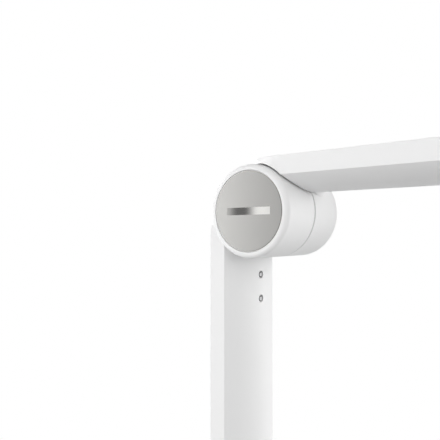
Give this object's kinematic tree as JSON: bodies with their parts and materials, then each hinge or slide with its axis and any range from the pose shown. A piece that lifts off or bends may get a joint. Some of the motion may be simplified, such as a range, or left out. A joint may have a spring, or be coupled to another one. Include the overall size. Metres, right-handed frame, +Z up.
{
  "type": "book scanner",
  "caption": "Desk book scanner: weighted base with push buttons, hollow post, friction elbow and a folding arm with a light strip and a camera that looks down.",
  "frame": {"origin": "middle of the rubber pad's bottom face, on the table", "axes": "+Z up; the arm points to -Y, over the page; the elbow turns about X"},
  "size_m": [0.16, 0.3447, 0.3772],
  "materials": {
    "white_plastic": "moulded ABS, fine satin grain",
    "button_plastic": "moulded ABS, smooth satin",
    "cap_metal": "turned and satin anodised",
    "screw_steel": "zinc plated",
    "plate_steel": "rolled and oiled",
    "bracket_steel": "pressed and zinc plated",
    "shaft_steel": "turned",
    "spring_steel": "hardened and blued",
    "foot_metal": "cut from bar",
    "socket_steel": "drawn and nickel plated",
    "pad_rubber": "moulded sheet",
    "bush_plastic": "moulded acetal",
    "friction_plastic": "punched friction sheet",
    "board_laminate": "glass-fibre laminate with solder mask",
    "light_laminate": "aluminium-backed laminate with white mask",
    "spacer_brass": "turned hexagon",
    "switch_plastic": "moulded",
    "black_plastic": "moulded, matt",
    "lens_metal": "turned and black anodised",
    "sensor_package": "encapsulated",
    "diode_resin": "phosphor resin",
    "pipe_resin": "clear moulded",
    "diffuser_plastic": "opal moulded polycarbonate",
    "window_glass": "polished",
    "lens_coating": "polished and coated",
    "cable_jacket": "extruded soft jacket"
  },
  "bodies": {
    "stand": {"base_shell": "white_plastic", "base_plate": "plate_steel", "base_pad": "pad_rubber", "base_screws": "screw_steel", "main_board": "board_laminate", "board_standoffs": "spacer_brass", "board_screws": "screw_steel", "tact_switches": "switch_plastic", "status_led": "diode_resin", "light_pipe": "pipe_resin", "usb_socket": "socket_steel", "post_housing": "white_plastic", "post_cover": "white_plastic", "post_foot": "foot_metal", "foot_screws": "screw_steel", "foot_lock_screw": "screw_steel", "post_bracket": "bracket_steel", "post_bracket_screws": "screw_steel", "post_cable": "cable_jacket", "post_cap": "cap_metal", "hinge_bush": "bush_plastic"},
    "arm": {"hinge_shaft": "shaft_steel", "seam_washer": "bush_plastic", "friction_washer": "friction_plastic", "disc_spring": "spring_steel", "lock_nut": "screw_steel", "flange_screws": "screw_steel", "arm_housing": "white_plastic", "arm_cover": "white_plastic", "arm_bracket": "bracket_steel", "arm_bracket_screws": "screw_steel", "arm_cap": "cap_metal", "arm_cable": "cable_jacket", "light_diffuser": "diffuser_plastic", "led_board": "light_laminate", "leds": "diode_resin", "led_board_screws": "screw_steel", "camera_bezel": "black_plastic", "camera_window": "window_glass", "lens_barrel": "lens_metal", "lens_glass": "lens_coating", "lens_holder": "black_plastic", "image_sensor": "sensor_package", "camera_board": "board_laminate", "camera_board_screws": "screw_steel"},
    "scan_button": {"scan_button": "button_plastic"},
    "power_button": {"power_button": "button_plastic"},
    "light_button": {"light_button": "button_plastic"}
  },
  "joints": [
    {"name": "elbow", "type": "hinge", "parent": "stand", "child": "arm", "pos_m": [0, 0.0228, 0.35], "axis": [-1, 0, 0], "range_deg": [-90, 90]},
    {"name": "scan_button_press", "type": "slide", "parent": "stand", "child": "scan_button", "axis": [0, 0, -1], "range_m": [0, 0.001], "stiffness_N_per_m": 1200, "springref_m": -0.0004},
    {"name": "power_button_press", "type": "slide", "parent": "stand", "child": "power_button", "axis": [0, 0, -1], "range_m": [0, 0.001], "stiffness_N_per_m": 1200, "springref_m": -0.0004},
    {"name": "light_button_press", "type": "slide", "parent": "stand", "child": "light_button", "axis": [0, 0, -1], "range_m": [0, 0.001], "stiffness_N_per_m": 1200, "springref_m": -0.0004}
  ]
}
